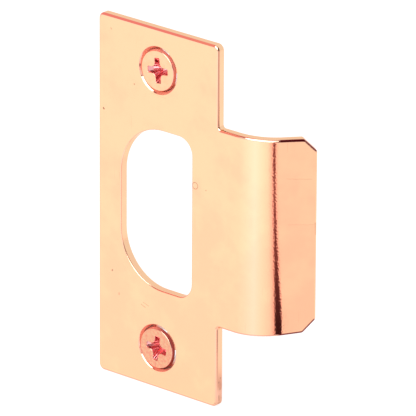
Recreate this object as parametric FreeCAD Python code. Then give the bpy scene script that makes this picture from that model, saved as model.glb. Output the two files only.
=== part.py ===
# T-shaped door strike plate for a spring latch, with its two flat head wood screws.
#
# The plate is one stamped and bent piece of sheet metal. Its back face lies on the door
# jamb in the plane Y = 0, the door side looks towards -Y, and +Z is up. The origin is the
# middle of the back face, midway between the screws. The curved lip leaves the plate on
# the +X side and turns back around the edge of the jamb, towards +Y.
# All lengths are in millimetres and all angles in degrees.

import FreeCAD, Part
import math
import os

from FreeCAD import Vector

# Plate
plate_width = 28.575
plate_height = 69.85
sheet_thickness = 1.6
plate_corner_radius = 1.2
rolled_edge_radius = 0.45

# Lip
lip_root_width = 38.2
lip_end_width = 37.05
lip_side_bow = 0.24
lip_flat_before_bend = 3.8
lip_bend_inner_radius = 8.4
lip_bend_angle = 55.0
lip_flat_after_bend = 6.2
lip_corner_cut = 2.3
lip_corner_radius = 0.8
lip_root_radius = 0.65

# Latch hole, a D with its round side away from the lip
latch_hole_width = 16.95
latch_hole_height = 31.1
latch_hole_lip_margin = 6.15
latch_hole_round_radius = 10.0
latch_hole_square_radius = 3.2
latch_hole_edge_radius = 0.22

# Screw holes
screw_end_margin = 7.9375
countersink_diameter = 9.15
countersink_angle = 82.0
countersink_edge_radius = 0.12

# Number 8 flat head wood screw
screw_length = 15.9
screw_diameter = 4.17
screw_head_diameter = 7.9
screw_head_face_diameter = 7.4
screw_point_length = 5.2
screw_point_bulge = 0.33
screw_tip_diameter = 0.3
head_seat_clearance = 0.02
upper_head_back_off = 0.15
lower_head_back_off = 0.3

# Cross recess of the screw heads
recess_span = 4.7
recess_floor_span = 1.9
recess_wing_width = 1.15
recess_wing_floor_width = 0.8
recess_core_diameter = 2.5
recess_core_floor_diameter = 1.5
recess_depth = 2.1
recess_tip_depth = 0.35
upper_recess_turn = 5.0
lower_recess_turn = -7.0

# Worked out from the sizes above
BACK_Y = 0.0
FRONT_Y = BACK_Y - sheet_thickness
PLATE_RIGHT = plate_width / 2
BEND_START_X = PLATE_RIGHT + lip_flat_before_bend
LIP_TURN = math.radians(lip_bend_angle)
LIP_ALONG = Vector(math.cos(LIP_TURN), math.sin(LIP_TURN), 0)
LIP_OUTWARD = Vector(math.sin(LIP_TURN), -math.cos(LIP_TURN), 0)
BEND_CENTRE = Vector(BEND_START_X, BACK_Y + lip_bend_inner_radius, 0)
BEND_OUTER_RADIUS = lip_bend_inner_radius + sheet_thickness
CONE_SLOPE = math.tan(math.radians(countersink_angle / 2))
SCREW_HEIGHT = plate_height / 2 - screw_end_margin
SCREW_HEIGHTS = {"screw_upper": SCREW_HEIGHT, "screw_lower": -SCREW_HEIGHT}
OVERSHOOT = 5.0
SAME_PLACE = 1e-4


def on_bend(radius, turn):
    """Point on the bend at a radius from its axis, after a turn from the flat plate."""
    return BEND_CENTRE + Vector(math.sin(turn), -math.cos(turn), 0) * radius


def lip_end(radius):
    """Point at the free end of the lip, on the face that bends at this radius."""
    return on_bend(radius, LIP_TURN) + LIP_ALONG * lip_flat_after_bend


def bent_sheet():
    """The bent section seen from above, raised to the full height of the plate."""
    back_left = Vector(-PLATE_RIGHT, BACK_Y, 0)
    front_left = Vector(-PLATE_RIGHT, FRONT_Y, 0)
    inner = [on_bend(lip_bend_inner_radius, LIP_TURN * share) for share in (0, 0.5, 1)]
    outer = [on_bend(BEND_OUTER_RADIUS, LIP_TURN * share) for share in (0, 0.5, 1)]
    inner_end = lip_end(lip_bend_inner_radius)
    outer_end = lip_end(BEND_OUTER_RADIUS)
    section = Part.Wire([
        Part.makeLine(back_left, inner[0]),
        Part.Arc(*inner).toShape(),
        Part.makeLine(inner[2], inner_end),
        Part.makeLine(inner_end, outer_end),
        Part.makeLine(outer_end, outer[2]),
        Part.Arc(*reversed(outer)).toShape(),
        Part.makeLine(outer[0], front_left),
        Part.makeLine(front_left, back_left),
    ])
    sheet = Part.Face(section).extrude(Vector(0, 0, plate_height))
    return sheet.translated(Vector(0, 0, -plate_height / 2))


def edges_through(solid, direction, places, reach):
    """Straight edges along a direction that pass within reach of any of the places."""
    found = []
    for edge in solid.Edges:
        if not isinstance(edge.Curve, Part.Line):
            continue
        if edge.Curve.Direction.cross(direction).Length > SAME_PLACE:
            continue
        start = edge.Vertexes[0].Point
        for place in places:
            offset = place - start
            if (offset - direction * offset.dot(direction)).Length < reach:
                found.append(edge)
                break
    return found


def outline_block():
    """The T outline seen from the front, wide enough in Y to hold the bent lip."""
    top = plate_height / 2
    root = lip_root_width / 2
    end = lip_end_width / 2
    reach = lip_end(BEND_OUTER_RADIUS).x
    bow_x = (PLATE_RIGHT + reach) / 2
    bow_z = (root + end) / 2 + lip_side_bow
    corner = {
        "left_top": Vector(-PLATE_RIGHT, 0, top),
        "right_top": Vector(PLATE_RIGHT, 0, top),
        "root_top": Vector(PLATE_RIGHT, 0, root),
        "bow_top": Vector(bow_x, 0, bow_z),
        "end_top": Vector(reach, 0, end),
    }
    below = {name.replace("top", "bottom"): Vector(at.x, 0, -at.z) for name, at in corner.items()}
    corner.update(below)
    outline = Part.Wire([
        Part.makeLine(corner["left_bottom"], corner["left_top"]),
        Part.makeLine(corner["left_top"], corner["right_top"]),
        Part.makeLine(corner["right_top"], corner["root_top"]),
        Part.Arc(corner["root_top"], corner["bow_top"], corner["end_top"]).toShape(),
        Part.makeLine(corner["end_top"], corner["end_bottom"]),
        Part.Arc(corner["end_bottom"], corner["bow_bottom"], corner["root_bottom"]).toShape(),
        Part.makeLine(corner["root_bottom"], corner["right_bottom"]),
        Part.makeLine(corner["right_bottom"], corner["left_bottom"]),
    ])
    depth = lip_end(lip_bend_inner_radius).y - FRONT_Y + 2 * OVERSHOOT
    block = Part.Face(outline).extrude(Vector(0, depth, 0))
    block.translate(Vector(0, FRONT_Y - OVERSHOOT, 0))
    y_axis = Vector(0, 1, 0)
    plate_corners = [corner[n] for n in ("left_top", "right_top", "left_bottom", "right_bottom")]
    block = block.makeFillet(plate_corner_radius,
                             edges_through(block, y_axis, plate_corners, SAME_PLACE))
    roots = [corner["root_top"], corner["root_bottom"]]
    return block.makeFillet(lip_root_radius, edges_through(block, y_axis, roots, SAME_PLACE))


def cut_lip_corners(plate):
    """Cuts the two free corners of the lip at 45 degrees and softens what is left."""
    tip = lip_end(BEND_OUTER_RADIUS)
    softened = []
    for side in (1, -1):
        corner = tip + Vector(0, 0, side * lip_end_width / 2)
        along = LIP_ALONG * (lip_corner_cut + OVERSHOOT)
        up = Vector(0, 0, side * (lip_corner_cut + OVERSHOOT))
        middle = corner - LIP_ALONG * (lip_corner_cut / 2) - Vector(0, 0, side * lip_corner_cut / 2)
        triangle = Part.makePolygon([middle - along + up, middle + along + up,
                                     middle + along - up, middle - along + up])
        wedge = Part.Face(triangle).extrude(LIP_OUTWARD * (2 * OVERSHOOT))
        wedge.translate(LIP_OUTWARD * -OVERSHOOT)
        plate = plate.cut(wedge)
        softened.append(corner - LIP_ALONG * lip_corner_cut)
        softened.append(corner - Vector(0, 0, side * lip_corner_cut))
    edges = edges_through(plate, LIP_OUTWARD, softened, lip_corner_cut / 2)
    return plate.makeFillet(lip_corner_radius, edges)


def latch_hole_block():
    """The D shaped opening that the latch drops into, as a block through the plate."""
    right = PLATE_RIGHT - latch_hole_lip_margin
    left = right - latch_hole_width
    top = latch_hole_height / 2
    block = Part.makeBox(latch_hole_width, sheet_thickness + 2 * OVERSHOOT, latch_hole_height,
                         Vector(left, FRONT_Y - OVERSHOOT, -top))
    y_axis = Vector(0, 1, 0)
    round_corners = [Vector(left, 0, top), Vector(left, 0, -top)]
    square_corners = [Vector(right, 0, top), Vector(right, 0, -top)]
    block = block.makeFillet(latch_hole_round_radius,
                             edges_through(block, y_axis, round_corners, SAME_PLACE))
    return block.makeFillet(latch_hole_square_radius,
                            edges_through(block, y_axis, square_corners, SAME_PLACE))


def countersink(height):
    """The coned screw hole, which goes right through the thin sheet."""
    front_radius = countersink_diameter / 2
    lead = sheet_thickness + OVERSHOOT
    cone = Part.makeCone(front_radius + OVERSHOOT * CONE_SLOPE,
                         front_radius - sheet_thickness * CONE_SLOPE,
                         lead, Vector(0, FRONT_Y - OVERSHOOT, height), Vector(0, 1, 0))
    way_out = Part.makeCylinder(front_radius - sheet_thickness * CONE_SLOPE, OVERSHOOT,
                                Vector(0, BACK_Y - SAME_PLACE, height), Vector(0, 1, 0))
    return cone.fuse(way_out)


def is_front_skin(face):
    """True for the faces of the door side: plate, outside of the bend and lip."""
    surface = face.Surface
    if isinstance(surface, Part.Cylinder):
        return abs(surface.Radius - BEND_OUTER_RADIUS) < SAME_PLACE
    if not isinstance(surface, Part.Plane):
        return False
    middle = face.CenterOfMass
    on_plate = abs(middle.y - FRONT_Y) < SAME_PLACE
    on_lip = abs((middle - lip_end(BEND_OUTER_RADIUS)).dot(LIP_OUTWARD)) < SAME_PLACE
    return on_plate or on_lip


def rolled_edges(plate):
    """Edges around the outside of the door side, rounded by the stamping punch."""
    skin = [face for face in plate.Faces if is_front_skin(face)]
    around = [edge for face in skin for edge in face.OuterWire.Edges]
    return [edge for edge in around
            if sum(1 for other in around if other.isSame(edge)) == 1]


def front_edges_of_opening(plate, centre, reach_x, reach_z):
    """Edges of an opening in the plate's front face, found by the middle of the opening."""
    found = []
    for edge in plate.Edges:
        box = edge.BoundBox
        if max(abs(box.YMin - FRONT_Y), abs(box.YMax - FRONT_Y)) > SAME_PLACE:
            continue
        inside_x = max(abs(box.XMin - centre.x), abs(box.XMax - centre.x)) < reach_x
        inside_z = max(abs(box.ZMin - centre.z), abs(box.ZMax - centre.z)) < reach_z
        if inside_x and inside_z:
            found.append(edge)
    return found


def strike_plate():
    """The stamped plate: outline, rolled edge, bent lip, latch hole and screw holes."""
    plate = bent_sheet().common(outline_block())
    plate = cut_lip_corners(plate)
    plate = plate.makeFillet(rolled_edge_radius, rolled_edges(plate))
    plate = plate.cut(latch_hole_block())
    hole_centre = Vector(PLATE_RIGHT - latch_hole_lip_margin - latch_hole_width / 2, 0, 0)
    plate = plate.makeFillet(latch_hole_edge_radius,
                             front_edges_of_opening(plate, hole_centre,
                                                    latch_hole_width / 2 + SAME_PLACE,
                                                    latch_hole_height / 2 + SAME_PLACE))
    for height in SCREW_HEIGHTS.values():
        plate = plate.cut(countersink(height))
        reach = countersink_diameter / 2 + SAME_PLACE
        plate = plate.makeFillet(countersink_edge_radius,
                                 front_edges_of_opening(plate, Vector(0, 0, height), reach, reach))
    return plate.removeSplitter()


def turned_screw():
    """Head, cone, shank and point, turned about +Y with the head's face at Y = 0."""
    face = screw_head_face_diameter / 2
    rim = screw_head_diameter / 2
    shank = screw_diameter / 2
    sharp_radius = countersink_diameter / 2 - head_seat_clearance
    rim_depth = (sharp_radius - rim) / CONE_SLOPE
    shank_depth = (sharp_radius - shank) / CONE_SLOPE
    rim_start = Vector(face, 0, 0)
    rim_end = Vector(rim, rim_depth, 0)
    cone_end = Vector(shank, shank_depth, 0)
    point_start = Vector(shank, screw_length - screw_point_length, 0)
    tip = Vector(0, screw_length, 0)
    tip_edge = tip + Vector(screw_tip_diameter / 2, 0, 0)
    belly = (point_start + tip_edge) * 0.5 + Vector(screw_point_bulge, 0, 0)
    profile = Part.Wire([
        Part.makeLine(Vector(0, 0, 0), rim_start),
        Part.makeLine(rim_start, rim_end),
        Part.makeLine(rim_end, cone_end),
        Part.makeLine(cone_end, point_start),
        Part.Arc(point_start, belly, tip_edge).toShape(),
        Part.makeLine(tip_edge, tip),
        Part.makeLine(tip, Vector(0, 0, 0)),
    ])
    return Part.Face(profile).revolve(Vector(0, 0, 0), Vector(0, 1, 0), 360)


def recess_wing(turn):
    """One blade of the cross recess, wide at the face and narrow at its floor."""
    outlines = []
    for depth, span, width in ((0, recess_span, recess_wing_width),
                               (recess_depth, recess_floor_span, recess_wing_floor_width)):
        x = span / 2
        z = width / 2
        corners = [Vector(x, depth, z), Vector(-x, depth, z), Vector(-x, depth, -z),
                   Vector(x, depth, -z), Vector(x, depth, z)]
        outlines.append(Part.makePolygon(corners))
    blade = Part.makeLoft(outlines, True, True)
    blade.rotate(Vector(0, 0, 0), Vector(0, 1, 0), turn)
    return blade


def cross_recess():
    """The cross shaped driver recess: two blades and a tapered core with a drilled floor."""
    top_radius = recess_core_diameter / 2
    floor_radius = recess_core_floor_diameter / 2
    core = Part.makeCone(top_radius, floor_radius, recess_depth, Vector(0, 0, 0), Vector(0, 1, 0))
    tip = Part.makeCone(floor_radius, 0, recess_tip_depth,
                        Vector(0, recess_depth, 0), Vector(0, 1, 0))
    return core.fuse([tip, recess_wing(0), recess_wing(90)])


def screw(height, back_off, recess_turn):
    """A screw in its hole, backed off from its seat in the countersink."""
    body = turned_screw()
    recess = cross_recess()
    recess.rotate(Vector(0, 0, 0), Vector(0, 1, 0), -recess_turn)
    body = body.cut(recess)
    body.translate(Vector(0, FRONT_Y - back_off, height))
    return body


def main():
    nodes = {
        "strike_plate": strike_plate(),
        "screw_upper": screw(SCREW_HEIGHTS["screw_upper"], upper_head_back_off, upper_recess_turn),
        "screw_lower": screw(SCREW_HEIGHTS["screw_lower"], lower_head_back_off, lower_recess_turn),
    }
    os.makedirs("parts", exist_ok=True)
    for name, shape in nodes.items():
        shape.exportStep(f"parts/{name}.step")
        print(name, "valid", shape.isValid(), "solids", len(shape.Solids), "faces", len(shape.Faces),
              "volume", round(shape.Volume, 2))


main()
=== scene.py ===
import math

import bmesh
import bpy
import numpy as np
from mathutils import Matrix, Vector
from mathutils.geometry import delaunay_2d_cdt


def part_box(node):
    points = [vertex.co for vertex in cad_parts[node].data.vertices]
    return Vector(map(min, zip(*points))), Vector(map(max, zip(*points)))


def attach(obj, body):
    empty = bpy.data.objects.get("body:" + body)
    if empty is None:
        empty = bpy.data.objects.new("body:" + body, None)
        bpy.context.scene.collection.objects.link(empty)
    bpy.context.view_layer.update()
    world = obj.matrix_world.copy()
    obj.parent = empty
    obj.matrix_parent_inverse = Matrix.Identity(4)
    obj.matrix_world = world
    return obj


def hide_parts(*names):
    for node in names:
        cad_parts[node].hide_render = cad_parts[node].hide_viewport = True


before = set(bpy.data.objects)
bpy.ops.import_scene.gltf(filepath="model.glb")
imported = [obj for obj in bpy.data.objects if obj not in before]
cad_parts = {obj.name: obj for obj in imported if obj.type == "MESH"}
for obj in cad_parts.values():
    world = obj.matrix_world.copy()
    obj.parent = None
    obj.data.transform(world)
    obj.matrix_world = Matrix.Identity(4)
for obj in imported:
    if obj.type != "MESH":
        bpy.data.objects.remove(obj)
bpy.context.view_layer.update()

# Units: lengths in this file are millimetres unless a comment says otherwise
MM = 0.001

# Plate, read from the frame
plate_low, plate_high = (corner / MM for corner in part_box("strike_plate"))
PLATE_EDGE_X = -plate_low.x
PLATE_TOP_Z = plate_high.z
SHEET = -plate_low.y

# Plate, sizes that its box doesn't give
plate_corner_radius = 1.2
rolled_edge_radius = 0.45
back_edge_radius = 0.06
lip_root_half_width = 19.1
lip_end_half_width = 18.525
lip_side_bow = 0.24
lip_flat_before_bend = 3.8
lip_bend_inner_radius = 8.4
lip_bend_angle = math.radians(55)
lip_flat_after_bend = 6.2
lip_corner_cut = 2.3
lip_corner_radius = 0.8
lip_root_radius = 0.65
latch_hole_width = 16.95
latch_hole_half_height = 15.55
latch_hole_lip_margin = 6.15
latch_hole_round_radius = 10.0
latch_hole_square_radius = 3.2
latch_hole_edge_radius = 0.22
countersink_radius = 4.575
countersink_half_angle = math.radians(41)
countersink_edge_radius = 0.12

# Screws
head_rim_radius = 3.95
head_rim_depth = 0.696
head_face_radius = 3.66
head_rim_rounding = 0.16
head_bevel_turn = math.radians(66)
head_bevel_radius = 3.85
head_bevel_depth = 0.2
head_bevel_rounding = 0.01
head_side_turn = math.radians(78)
head_side_rounding = 0.1
cone_end_depth = 2.84
shank_radius = 2.085
shank_core_radius = 1.45
thread_pitch = 1.693
thread_start_depth = 3.45
point_length = 5.2
point_bulge = 0.33
tip_radius = 0.15
recess_depth = 2.1
recess_drill_depth = 0.35
recess_floor_inset = 0.9
recess_floor_rounding = 0.03
recess_edge_rounding = 0.12
recess_border = 0.1
recess_mouth = {"span": 4.7, "wing": 1.15, "end_radius": 0.16, "inner_radius": 0.95}
recess_floor = {"span": 1.9, "wing": 0.8, "end_radius": 0.08, "inner_radius": 0.4}
recess_turns = {"screw_upper": math.radians(5), "screw_lower": math.radians(-7)}

# How far each edge is painted with a redder reflection, from 0 to 1; along the top the painted tint
# fades from the plate's middle towards the lip
top_edge_tint = 1.0
top_edge_tint_by_lip = 0.6
top_fade_start = 2.0
top_fade_length = 12.0
side_edge_tint = 0.25
lower_edge_tint = 0.35
latch_hole_tint = 0.4
countersink_tint = 1.0
rim_tint = 0.9
hidden_tint = 0.3
# Painted shade on the rounded mouth of the driver recess
recess_mouth_shade = 0.6
roll_sharpness = 8

# Painted dark lines along the plate's outer edge, painted shade and dark reflections: how strong
# they are, where on the lip they begin as a share of the bend, and how far round the edge they begin
# on its upper and lower stretches
neck_shade_line_above = 0.36
neck_shade_line_below = 0.26
neck_reach = 0.5
lower_edge_shade_line = 0.2
lip_shade_line_start = 0.88
lip_shade_line_fade = 0.6
lip_shade_line_gain = 1.5
shade_line_start = math.radians(30)
shade_line_start_below = 0.0
shade_line_gain = 1.7
shade_line_gain_below = 2.6

# Least outward direction of a stretch that counts as facing sideways or down
FACING_SIDEWAYS = 0.8
FACING_DOWN = 0.5
TURNED_DOWN = 0.3

# Darker, redder lower end of the cut wall on the lip's side
low_wall_start = -26.5
low_wall_fade = 3.5
low_wall_reach = 2.5
low_wall_gain = 1.5
low_wall_tint = 0.3
low_wall_shade_line = 0.25

# The gap round each screw head: where it is shaded and where it is bright, as directions from the
# screw's axis, anticlockwise from the lip's side. Its walls get painted shade in salmon red with a
# half matt finish, less on the bright side, and a painted dark line on the shaded side
shade_direction = math.radians(15)
bright_direction = math.radians(218)
direction_gain = 1.6
screw_shades = {"screw_upper": 0.3, "screw_lower": 1.0}
shade_start = 0.74
countersink_shade_line = 0.8
cone_gap_shade_start = 0.45
cone_gap_shade_gain = 4.0
lit_side_less_shade = 0.85

# How finely curves are drawn
ARC_STEP = math.radians(6)
BEND_STEP = math.radians(1)
OUTLINE_STEP = 0.8
GRID_STEP = 1.5
GRID_CLEARANCE = 0.3
ROOT_CLEARANCE = 1.0
ROOT_SAMPLES = 3
END_SAMPLE = 1.5
ROLL_STEPS = 8
BACK_EDGE_STEPS = 4
RECESS_STEPS = 4
RECESS_WALL_SHARES = (0.02, 0.35, 0.7, 1.0)
SCREW_SIDES = 96
SCREW_ANGLES = 2 * np.pi * np.arange(SCREW_SIDES) / SCREW_SIDES
SCREW_CIRCLE = np.stack((np.cos(SCREW_ANGLES), np.sin(SCREW_ANGLES)), axis=-1)
THREAD_ROWS = (0.0, 0.14, 0.28, 0.38, 0.455, 0.5, 0.545, 0.62, 0.72, 0.86)
THREAD_FLANK = 0.17
MERGE_DISTANCE = 0.002

# Worked out from the sizes above
BEND_START = PLATE_EDGE_X + lip_flat_before_bend
BEND_OUTER_RADIUS = lip_bend_inner_radius + SHEET
BEND_LENGTH = BEND_OUTER_RADIUS * lip_bend_angle
LIP_END = BEND_START + BEND_LENGTH + lip_flat_after_bend
LIP_REACH_X = (BEND_START + BEND_OUTER_RADIUS * math.sin(lip_bend_angle)
               + lip_flat_after_bend * math.cos(lip_bend_angle))


# Sheet metal that is drawn flat and then bent
def fold(along, height, depth):
    """Places of points given by length along the door side, height and depth in the sheet."""
    turn = np.clip((along - BEND_START) / BEND_OUTER_RADIUS, 0, lip_bend_angle)
    before = np.minimum(along, BEND_START)
    after = np.maximum(along - BEND_START - BEND_LENGTH, 0)
    radius = BEND_OUTER_RADIUS - depth
    x = before + radius * np.sin(turn) + after * math.cos(lip_bend_angle)
    y = lip_bend_inner_radius - radius * np.cos(turn) + after * math.sin(lip_bend_angle)
    x_skin = before + BEND_OUTER_RADIUS * np.sin(turn) + after * math.cos(lip_bend_angle)
    return np.stack((x, y, height * half_width(x) / half_width(x_skin)), axis=-1)


def half_width(x):
    """Half the width of the lip at a distance from the plate's middle."""
    share = np.clip((x - PLATE_EDGE_X) / (LIP_REACH_X - PLATE_EDGE_X), 0, 1)
    straight = lip_root_half_width + (lip_end_half_width - lip_root_half_width) * share
    return straight + 4 * lip_side_bow * share * (1 - share)


def sheet_directions(along, outward, out_share, front_share):
    """Directions on the bent sheet, from shares along the outline's normal and the skin's."""
    turn = np.clip((along - BEND_START) / BEND_OUTER_RADIUS, 0, lip_bend_angle)
    sine, cosine = np.sin(turn), np.cos(turn)
    x = outward[:, 0] * out_share * cosine + front_share * sine
    y = outward[:, 0] * out_share * sine - front_share * cosine
    return np.stack((x, y, outward[:, 1] * out_share), axis=-1)


def unit(vector):
    return vector / np.linalg.norm(vector)


def rounded_outline(corners, longest):
    """Points and outward directions along a closed outline whose corners are arcs.

    A corner is (x, z, radius). The material lies on the left of the way round, so a hole
    runs clockwise. Straight stretches are divided so that no piece is over the longest."""
    places, outward = [], []
    count = len(corners)
    for index in range(count):
        x, z, radius = corners[index]
        here = np.array((x, z))
        way_in = unit(here - np.array(corners[index - 1][:2]))
        way_out = unit(np.array(corners[(index + 1) % count][:2]) - here)
        normal_in = np.array((way_in[1], -way_in[0]))
        normal_out = np.array((way_out[1], -way_out[0]))
        if radius == 0:
            added = [(here, unit(normal_in + normal_out))]
        else:
            turn = math.atan2(way_in[0] * way_out[1] - way_in[1] * way_out[0], way_in @ way_out)
            side = math.copysign(radius, turn)
            start = here - way_in * abs(radius * math.tan(turn / 2))
            centre = start - normal_in * side
            steps = max(2, round(abs(turn) / ARC_STEP))
            added = []
            for step in range(steps + 1):
                angle = turn * step / steps
                cosine, sine = math.cos(angle), math.sin(angle)
                normal = np.array((normal_in[0] * cosine - normal_in[1] * sine,
                                   normal_in[0] * sine + normal_in[1] * cosine))
                added.append((centre + normal * side, normal))
        for place, normal in added:
            if places:
                divide(places, outward, place, normal, longest)
            places.append(place)
            outward.append(normal)
    first, first_normal = places[0], outward[0]
    divide(places, outward, first, first_normal, longest)
    return np.array(places), np.array(outward)


def divide(places, outward, place, normal, longest):
    """Adds even steps from the last place towards the next one."""
    last, last_normal = places[-1], outward[-1]
    steps = math.ceil(np.linalg.norm(place - last) / longest)
    for step in range(1, steps):
        share = step / steps
        places.append(last + (place - last) * share)
        outward.append(unit(last_normal + (normal - last_normal) * share))


def circle_outline(centre_x, centre_z, radius, sides):
    """A round hole, clockwise, with its directions towards the centre."""
    angles = -2 * np.pi * np.arange(sides) / sides
    rim = np.stack((np.cos(angles), np.sin(angles)), axis=-1)
    return rim * radius + np.array((centre_x, centre_z)), -rim


def inside(points, outline):
    """True for the points that lie inside a closed outline."""
    result = np.zeros(len(points), bool)
    ahead = np.roll(outline, -1, axis=0)
    for (x0, z0), (x1, z1) in zip(outline, ahead):
        if z0 == z1:
            continue
        spans = (z0 > points[:, 1]) != (z1 > points[:, 1])
        crossing = (x1 - x0) * (points[:, 1] - z0) / (z1 - z0) + x0
        result ^= spans & (points[:, 0] < crossing)
    return result


def edge_profile(front_radius, wall_turn):
    """Section of a cut edge: (offset into the sheet, depth, outward share, front share)."""
    offset = front_radius * math.tan(wall_turn / 2)
    rows = []
    for step in range(ROLL_STEPS + 1):
        angle = wall_turn * step / ROLL_STEPS
        rows.append((offset - front_radius * math.sin(angle),
                     front_radius * (1 - math.cos(angle)), math.sin(angle), math.cos(angle)))
    depth = SHEET - back_edge_radius
    back_offset = (back_edge_radius - math.cos(wall_turn) * depth) / math.sin(wall_turn)
    for step in range(BACK_EDGE_STEPS + 1):
        angle = wall_turn + (math.pi - wall_turn) * step / BACK_EDGE_STEPS
        rows.append((back_offset - back_edge_radius * math.sin(angle),
                     depth - back_edge_radius * math.cos(angle), math.sin(angle), math.cos(angle)))
    return rows


class Skin:
    """A closed surface that is put together from rings of points and filled faces."""

    def __init__(self):
        self.places = []
        self.normals = []
        self.drawn = []
        self.reflection_tint = []
        self.deep = []
        self.shade_line = []
        self.matt_gap_shade = []
        self.faces = []

    def add(self, places, normals, drawn, depth, reflection_tint, deep=0.0, shade_line=0.0, matt_gap_shade=0.0):
        """Adds points, with the flat places and depth that they were drawn at, and how much painted
        light they carry: a redder painted reflection on edges, painted shade deep in a recess, a
        painted dark line, and painted shade with a half matt finish in the gaps round the screw
        heads."""
        first = len(self.places)
        self.places.extend(places)
        self.normals.extend(normals)
        depths = np.broadcast_to(depth, len(drawn))
        self.drawn.extend(np.column_stack((drawn, depths)))
        self.reflection_tint.extend(np.broadcast_to(reflection_tint, len(places)))
        self.deep.extend(np.broadcast_to(deep, len(places)))
        self.shade_line.extend(np.broadcast_to(shade_line, len(places)))
        self.matt_gap_shade.extend(np.broadcast_to(matt_gap_shade, len(places)))
        return np.arange(first, len(self.places))

    def bridge(self, inner, outer):
        """Faces between two rings; the second lies outward of the first."""
        for index in range(len(inner)):
            after = (index + 1) % len(inner)
            self.faces.append((outer[index], outer[after], inner[after], inner[index]))

    def join(self, rings):
        """Faces between each ring and the next one, which lies outward of it."""
        for inner, outer in zip(rings, rings[1:]):
            self.bridge(inner, outer)

    def fill(self, flat, numbers, outer, holes, facing_front):
        """Triangles between an outer loop and its holes, through any points inside.

        flat holds the drawn places, numbers the skin's numbers for them, and each loop
        is an array of positions in flat."""
        edges = []
        for loop in (outer, *holes):
            edges.extend(zip(loop.tolist(), np.roll(loop, -1).tolist()))
        made = delaunay_2d_cdt([Vector(p) for p in flat], edges, [], 0, 1e-6)
        source = [members[0] for members in made[3]]
        triangles = np.array([[source[v] for v in face] for face in made[2]])
        middles = flat[triangles].mean(axis=1)
        keep = inside(middles, flat[outer])
        for hole in holes:
            keep &= ~inside(middles, flat[hole])
        for a, b, c in numbers[triangles[keep]]:
            self.faces.append((a, b, c) if facing_front else (c, b, a))

    def make_object(self, name, slot_name):
        """The finished mesh in metres, riding on the one body, in place of its solid."""
        mesh = bpy.data.meshes.new(name)
        places = (np.array(self.places) * MM).tolist()
        faces = [tuple(map(int, face)) for face in self.faces]
        mesh.from_pydata(places, [], faces)
        for label, values in (("reflection_tint", self.reflection_tint), ("deep", self.deep),
                              ("shade_line", self.shade_line), ("matt_gap_shade", self.matt_gap_shade)):
            attribute = mesh.attributes.new(label, "FLOAT", "POINT")
            attribute.data.foreach_set("value", np.array(values, np.float32))
        drawn = mesh.attributes.new("drawn", "FLOAT_VECTOR", "POINT")
        drawn.data.foreach_set("vector", np.array(self.drawn, np.float32).ravel())
        mesh.polygons.foreach_set("use_smooth", [True] * len(mesh.polygons))
        automatic = np.zeros(len(mesh.vertices) * 3)
        mesh.vertices.foreach_get("normal", automatic)
        normals = np.array(self.normals, float)
        unset = np.isnan(normals[:, 0])
        normals[unset] = automatic.reshape(-1, 3)[unset]
        mesh.normals_split_custom_set_from_vertices(normals.tolist())
        piece = bpy.data.objects.new(name, mesh)
        bpy.context.scene.collection.objects.link(piece)
        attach(piece, "root")
        return piece


# The strike plate
def plate_outline():
    """The T with its tapered lip, drawn flat, its free corners cut at 45 degrees."""
    before_end = LIP_END - lip_corner_cut
    side_height = float(half_width(LIP_REACH_X - lip_corner_cut * math.cos(lip_bend_angle)))
    cut_start = before_end - (side_height - lip_end_half_width)
    turns = np.arange(0, lip_bend_angle + BEND_STEP / 2, BEND_STEP)
    root = np.linspace(PLATE_EDGE_X + ROOT_CLEARANCE, BEND_START, ROOT_SAMPLES + 1)[:-1]
    side = np.concatenate((root, BEND_START + BEND_OUTER_RADIUS * turns,
                           [BEND_START + BEND_LENGTH + END_SAMPLE]))
    lower = [(s, -float(half_width(fold(s, 0.0, 0.0)[0])), 0) for s in side]
    upper = [(s, -z, 0) for s, z, _ in reversed(lower)]
    top = PLATE_TOP_Z
    corner = plate_corner_radius
    return [
        (-PLATE_EDGE_X, -top, corner),
        (PLATE_EDGE_X, -top, corner),
        (PLATE_EDGE_X, -lip_root_half_width, lip_root_radius),
        *lower,
        (cut_start, -side_height, lip_corner_radius),
        (LIP_END, -lip_end_half_width + lip_corner_cut, lip_corner_radius),
        (LIP_END, lip_end_half_width - lip_corner_cut, lip_corner_radius),
        (cut_start, side_height, lip_corner_radius),
        *upper,
        (PLATE_EDGE_X, lip_root_half_width, lip_root_radius),
        (PLATE_EDGE_X, top, corner),
        (-PLATE_EDGE_X, top, corner),
    ]


def latch_hole_outline():
    """The D, clockwise, with its round side away from the lip."""
    right = PLATE_EDGE_X - latch_hole_lip_margin
    left = right - latch_hole_width
    top = latch_hole_half_height
    return [
        (left, -top, latch_hole_round_radius),
        (left, top, latch_hole_round_radius),
        (right, top, latch_hole_square_radius),
        (right, -top, latch_hole_square_radius),
    ]


def screw_heights():
    """Heights of the two screws, from the middles of their boxes."""
    heights = {}
    for name in ("screw_upper", "screw_lower"):
        low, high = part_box(name)
        heights[name] = (low.z + high.z) / 2 / MM
    return heights


def outline_tints(drawn, outward):
    """Painted redder reflection along the outline's edge: strongest where it faces up."""
    up, aside = outward[:, 1], np.abs(outward[:, 0])
    towards_lip = np.clip((drawn[:, 0] - top_fade_start) / top_fade_length, 0, 1)
    above = top_edge_tint + (top_edge_tint_by_lip - top_edge_tint) * towards_lip
    tint = np.where(up > 0, above * up, -lower_edge_tint * up)
    return np.maximum(tint, side_edge_tint * aside * (drawn[:, 0] < LIP_END - lip_corner_cut))


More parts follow.
